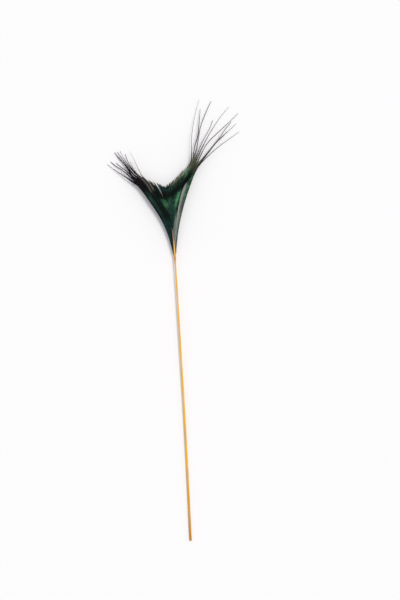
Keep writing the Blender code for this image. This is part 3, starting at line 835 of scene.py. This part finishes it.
def buildShaft(look, skins):
    bpy.ops.object.select_all(action="DESELECT")
    ys = [[look["cut"]], np.linspace(-256, -30, 18), np.linspace(-20, 16, 15), np.linspace(20, 61, 9)]
    rows = [np.append(y, shaftAt(y)[0]) for y in np.concatenate(ys)]
    centres = [toFrame([x, y, z + r + look["lift"]]) for y, x, z, r in rows]
    tilt = math.radians(look["slant"])
    bpy.ops.mesh.primitive_circle_add(vertices=look["sides"], radius=rows[0][3] * mm, fill_type="NGON",
                                      location=centres[0], rotation=(math.radians(90) + tilt, 0, 0))
    shaft = bpy.context.object
    shaft.name = "shaft"
    bpy.ops.object.transform_apply(location=True, rotation=True, scale=True)
    switch("EDIT")
    bpy.ops.mesh.select_all(action="SELECT")
    for k in range(1, len(rows)):
        bpy.ops.mesh.extrude_region_move(TRANSFORM_OT_translate={"value": tuple(centres[k] - centres[k - 1])})
        if k == 1:
            bpy.ops.transform.rotate(value=tilt, orient_axis="X", center_override=tuple(centres[k]))
        bpy.ops.transform.resize(value=(rows[k][3] / rows[k - 1][3],) * 3, center_override=tuple(centres[k]))
    bpy.ops.mesh.select_all(action="SELECT")
    bpy.ops.mesh.normals_make_consistent(inside=False)
    switch("OBJECT")
    for skin in skins:
        shaft.data.materials.append(skin)

    def pick(test):
        # selects the faces that pass a test of their y in the table's millimetres, normal and corners
        switch("EDIT")
        bpy.ops.mesh.select_mode(type="FACE")
        bpy.ops.mesh.select_all(action="DESELECT")
        switch("OBJECT")
        for face in shaft.data.polygons:
            face.select = bool(test(face.center.y / mm + frameMiddle[1], face.normal, len(face.vertices)))
        switch("EDIT")

    for hand in (-1, 1):
        pick(lambda y, out, corners: out.x * hand > 0.93 and y < look["stripTo"] and corners == 4)
        bpy.ops.mesh.inset(thickness=look["stripInset"] * mm, depth=-look["stripDepth"] * mm)
        shaft.active_material_index = 1
        bpy.ops.object.material_slot_assign()
    pick(lambda y, out, corners: out.z < -0.9 and look["grooveFrom"] < y < look["grooveTo"] and corners == 4)
    bpy.ops.mesh.inset(thickness=look["grooveInset"] * mm, depth=-look["grooveDepth"] * mm)
    # the cut end is the one face with many corners near the start
    pick(lambda y, out, corners: corners > 4 and y < -200)
    bpy.ops.mesh.inset(thickness=look["wall"] * mm, depth=0)
    shaft.active_material_index = 2
    bpy.ops.object.material_slot_assign()
    bpy.ops.mesh.extrude_region_move(TRANSFORM_OT_translate={"value": (0, look["pithDepth"] * mm, 0)})
    bpy.ops.mesh.inset(thickness=look["pithInset"] * mm, depth=look["pithDish"] * mm)
    switch("OBJECT")
    bpy.ops.object.shade_smooth_by_angle(angle=math.radians(look["smoothAngle"]))
    print("shaft faces:", len(shaft.data.polygons))
    return shaft


def buildStubs(look, skin):
    # broken ends of the stripped barbs, in two rows
    draw = np.random.default_rng(look["seed"])
    total = look["stubs"]
    ys = draw.uniform(look["from"], look["to"], total)
    hands = np.where(np.arange(total) % 2, 1.0, -1.0)
    xs, zs, radii = shaftAt(ys).T
    roots = np.stack([xs + hands * radii * 0.9, ys, zs + radii * draw.uniform(0.9, 1.1, total)], axis=1)
    angle = np.radians(draw.uniform(12, 40, total))
    ways = np.stack([hands * np.sin(angle), np.cos(angle), draw.normal(0, 0.12, total)], axis=1)
    side = np.stack([ways[:, 1], -ways[:, 0], np.zeros(total)], axis=1) * look["half"]
    up = np.array([0, 0, look["half"]])
    size = look["length"] * draw.uniform(0.4, 1.3, total)
    ring = [roots + side, roots + up, roots - side, roots - up]
    end = [corner + ways * size[:, None] - (corner - roots) * look["taper"] for corner in ring]
    points = np.stack(ring + end, axis=1).reshape(-1, 3)
    quads = np.array([[4, 5, 1, 0], [5, 6, 2, 1], [6, 7, 3, 2], [7, 4, 0, 3], [0, 1, 2, 3], [7, 6, 5, 4]])
    faces = (np.arange(total)[:, None, None] * 8 + quads[None]).reshape(-1, 4)
    print("barb stubs:", total)
    return newMesh("barbStubs", points, faces, 4, {}, skin, False)


# Shaft keratin in its own golden colour, its cuticle left glossy: streaked along its length by the
# fibres, more amber towards the cut, and brown where the barbs cover it. The streaks are bundles of
# fibres, drawn 0.4 mm apart because the real 0.05 mm wouldn't show.
goldenLook = {
    "stops": [(0.0, "#ba7c0c"), (0.08, "#d3950f"), (0.2, "#e5aa1a"), (0.5, "#eeba34"),
              (0.785, "#eeab2a"), (0.803, "#c67d12"), (0.822, "#f2b842"), (0.846, "#cf9440"),
              (0.868, "#7b5a34"), (1.0, "#3c3224")],
    "from": -259.3, "to": 60.8, "streakSize": 0.4, "streakRun": 0.03, "streakShade": (0.82, 1.1),
    "mottleSize": 11.0, "mottleShade": (0.88, 1.06), "streakDepth": 0.04, "roughness": 0.3,
}


def goldenMaterial(look):
    material, tree = newMaterial("goldenShaftKeratin")
    place = objectPlace(tree)
    y = addNode(tree, "SeparateXYZ", {0: place}).outputs["Y"]
    start, end = [(look[key] - frameMiddle[1]) * mm for key in ("from", "to")]
    reach = {"Value": y, "From Min": start, "From Max": end}
    run = addNode(tree, "MapRange", reach).outputs[0]
    scale = (1.0, look["streakRun"], 1.0)
    drawn = addNode(tree, "Mapping", {"Vector": place, "Scale": scale}).outputs[0]
    streak = noise(tree, drawn, look["streakSize"], 3.0)
    mottle = noise(tree, place, look["mottleSize"], 2.0)
    colour = addNode(tree, "ValToRGB", {"Fac": run}, None, look["stops"]).outputs[0]
    colour = shadeBy(tree, colour, stretched(tree, streak, *look["streakShade"]))
    colour = shadeBy(tree, colour, stretched(tree, mottle, *look["mottleShade"]))
    finishMaterial(tree, {
        "Base Color": colour, "Roughness": look["roughness"], "IOR": 1.54, "Coat Weight": 0.25,
        "Coat Roughness": 0.12, "Normal": bump(tree, streak, 0.25, look["streakDepth"]),
    })
    return material


def roughMaterial(name, look):
    # torn or cut keratin with no cuticle: pale, matt and fibrous
    material, tree = newMaterial(name)
    fibre = noise(tree, objectPlace(tree), look["grainSize"], 4.0)
    stops = [(0.35, look["dark"]), (0.65, look["light"])]
    colour = addNode(tree, "ValToRGB", {"Fac": fibre}, None, stops).outputs[0]
    finishMaterial(tree, {
        "Base Color": colour, "Roughness": look["roughness"], "IOR": 1.5,
        "Normal": bump(tree, fibre, 0.5, look["grainDepth"]),
    })
    return material


# The strip that the stripping tore open, and the foam of dry cells in the cut end. Its cells are about
# 0.05 mm, drawn at 0.2 mm so that they show.
scarLook = {"dark": "#c9973f", "light": "#f0d9a0", "grainSize": 0.4, "grainDepth": 0.05, "roughness": 0.65}
pithLook = {"dark": "#d8c8a2", "light": "#f4ecd8", "grainSize": 0.2, "grainDepth": 0.05, "roughness": 0.85}

golden = goldenMaterial(goldenLook)
scar = roughMaterial("barbScarKeratin", scarLook)
pith = roughMaterial("featherPith", pithLook)
shaft = buildShaft(shaftLook, [golden, scar, pith])
stubs = buildStubs(stubLook, scar)

for piece in leftPieces + rightPieces + [shaft, stubs]:
    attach(piece, "root")
    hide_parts("feather")

# Floor: matt white card, whose pulp shows as a faint grain a millimetre across
floorLook = {"size": 30.0, "colour": "#f1f1f1", "pulpSize": 1.0, "pulpShade": (0.985, 1.0), "roughness": 0.9}
bpy.ops.object.select_all(action="DESELECT")
bpy.ops.mesh.primitive_plane_add(size=floorLook["size"], location=(0, 0, 0))
floor = bpy.context.object
floor.name = "paperFloor"
paper, tree = newMaterial("whitePaper")
pulp = noise(tree, objectPlace(tree), floorLook["pulpSize"], 2.0)
card = shadeBy(tree, floorLook["colour"], stretched(tree, pulp, *floorLook["pulpShade"]))
finishMaterial(tree, {"Base Color": card, "Roughness": floorLook["roughness"], "Specular IOR Level": 0.1})
floor.data.materials.append(paper)
print("floor laid")

# Light: a bright even room, and one large soft lamp from the right
lightLook = {
    "worldTone": "#f8f8ff", "worldPower": 0.70,
    "sunTone": "#fffcf5", "sunPower": 1.62, "sunSpread": 18.0, "sunFrom": (0.36, 0.2, 0.95),
}
world = bpy.data.worlds.new("softRoom")
world.use_nodes = True
world.node_tree.nodes["Background"].inputs["Color"].default_value = linear(lightLook["worldTone"])
world.node_tree.nodes["Background"].inputs["Strength"].default_value = lightLook["worldPower"]
scene.world = world
lampData = bpy.data.lights.new("softLamp", "SUN")
lampData.energy = lightLook["sunPower"]
lampData.color = linear(lightLook["sunTone"])[:3]
lampData.angle = math.radians(lightLook["sunSpread"])
lamp = bpy.data.objects.new("softLamp", lampData)
lamp.rotation_euler = (-Vector(lightLook["sunFrom"])).to_track_quat("-Z", "Y").to_euler()
scene.collection.objects.link(lamp)

cameraLook = {"lens": 85.0, "sensor": 36.0, "height": 1.289, "turn": -3.2, "middle": (0.01654, 0.01793)}
cameraData = bpy.data.cameras.new("overhead")
cameraData.lens = cameraLook["lens"]
cameraData.sensor_width = cameraLook["sensor"]
camera = bpy.data.objects.new("overhead", cameraData)
camera.location = cameraLook["middle"] + (cameraLook["height"],)
camera.rotation_euler = (0, 0, math.radians(cameraLook["turn"]))
scene.collection.objects.link(camera)
scene.camera = camera
scene.view_settings.view_transform = "Standard"
print("light and camera set")
